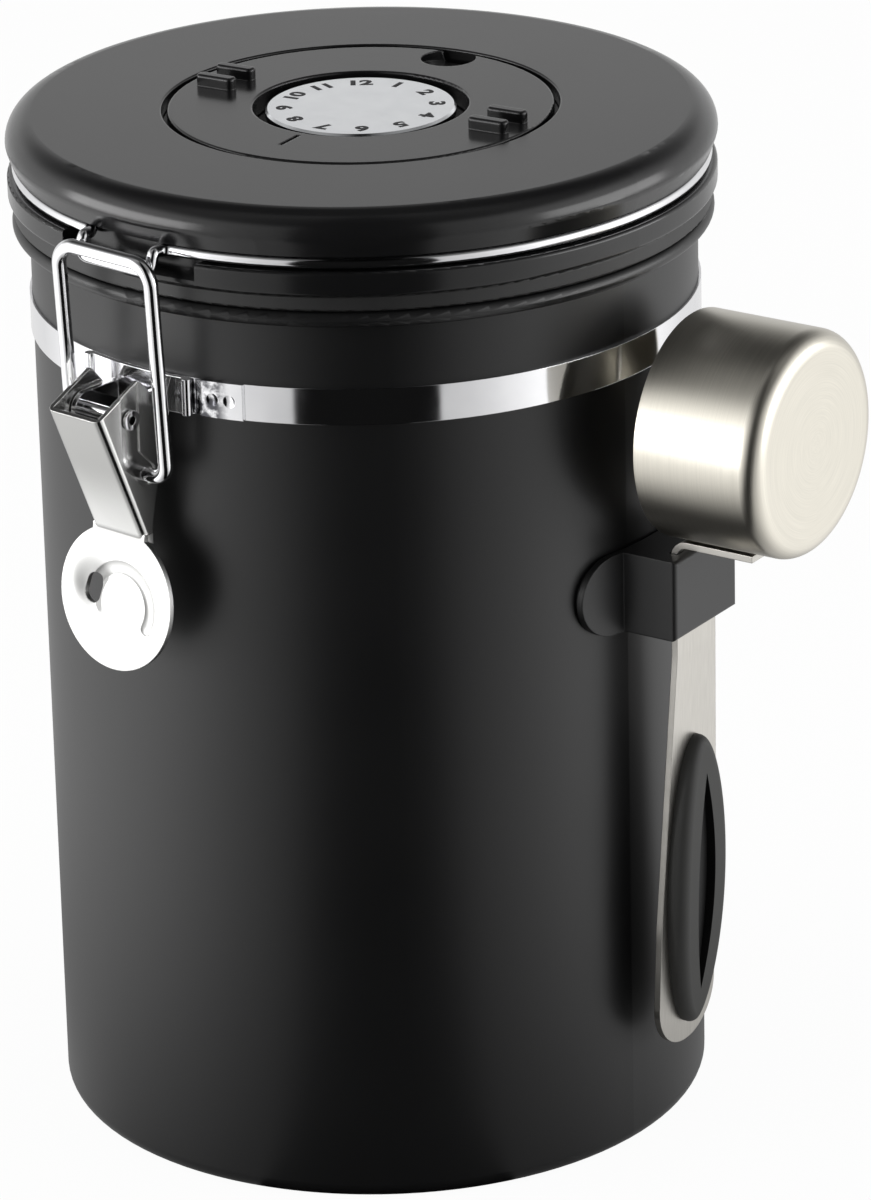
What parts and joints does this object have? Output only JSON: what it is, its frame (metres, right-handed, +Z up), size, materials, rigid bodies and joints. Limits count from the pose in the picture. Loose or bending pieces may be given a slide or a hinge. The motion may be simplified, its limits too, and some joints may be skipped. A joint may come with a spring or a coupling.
{
  "type": "coffee canister with valve",
  "caption": "Round black steel coffee canister with a clamped, hinged lid, a turning date ring over a one-way vent valve, and a steel scoop held on its side.",
  "frame": {"origin": "centre of the base, on the table", "axes": "+Z up the canister's axis, -Y towards the latch at the front, +X to the right of someone facing the latch"},
  "size_m": [0.1593, 0.1468, 0.1904],
  "materials": {
    "black_coat": "matte black powder coat",
    "black_moulding": "satin black",
    "black_silicone": "matte",
    "clear_silicone": "satin",
    "bright_steel": "polished",
    "brushed_steel": "brushed",
    "silver_plate": "fine satin",
    "white_moulding": "satin",
    "filter_felt": "fibrous",
    "foam_tape": "matte"
  },
  "bodies": {
    "canister": {"canister_body": "black_coat", "clamp_band": "bright_steel", "latch_bracket": "bright_steel", "lever_rivet": "bright_steel", "hinge_bracket": "bright_steel", "scoop_holder": "black_moulding", "holder_pad": "foam_tape"},
    "lid": {"lid_base": "black_moulding", "lid_cap": "black_moulding", "lid_wire": "bright_steel", "lid_gasket": "black_silicone", "lid_screws": "bright_steel", "date_disc": "silver_plate", "valve_body": "white_moulding", "valve_cap": "white_moulding", "filter_pad": "filter_felt", "filter_grille": "white_moulding"},
    "lever": {"latch_lever": "bright_steel"},
    "bail": {"latch_bail": "bright_steel"},
    "ring": {"date_ring": "black_moulding"},
    "umbrella": {"valve_disc": "clear_silicone"},
    "scoop": {"scoop_handle": "brushed_steel", "scoop_grip": "black_silicone", "scoop_cup": "brushed_steel"}
  },
  "joints": [
    {"name": "lid_hinge", "type": "hinge", "parent": "canister", "child": "lid", "pos_m": [0, 0.0675, 0.1791], "axis": [-1, 0, 0], "range_deg": [0, 100]},
    {"name": "lever_hinge", "type": "hinge", "parent": "canister", "child": "lever", "pos_m": [0, -0.0692, 0.1496], "axis": [-1, 0, 0], "range_deg": [0, 110]},
    {"name": "bail_hinge", "type": "hinge", "parent": "lever", "child": "bail", "pos_m": [0, -0.0656, 0.1386], "axis": [-1, 0, 0], "range_deg": [-110, 0]},
    {"name": "date_turn", "type": "hinge", "parent": "lid", "child": "ring", "pos_m": [0, 0, 0.1864], "axis": [0, 0, 1], "continuous": true},
    {"name": "valve_lift", "type": "slide", "parent": "lid", "child": "umbrella", "axis": [0, 0, 1], "range_m": [0, 0.0006], "stiffness_N_per_m": 40},
    {"name": "scoop_slide", "type": "slide", "parent": "canister", "child": "scoop", "axis": [-0.1219, 0.9925, 0], "range_m": [0, 0.03]}
  ],
  "couplings": [
    {"joint": "bail_hinge", "follows": "lever_hinge", "ratio": -1}
  ]
}
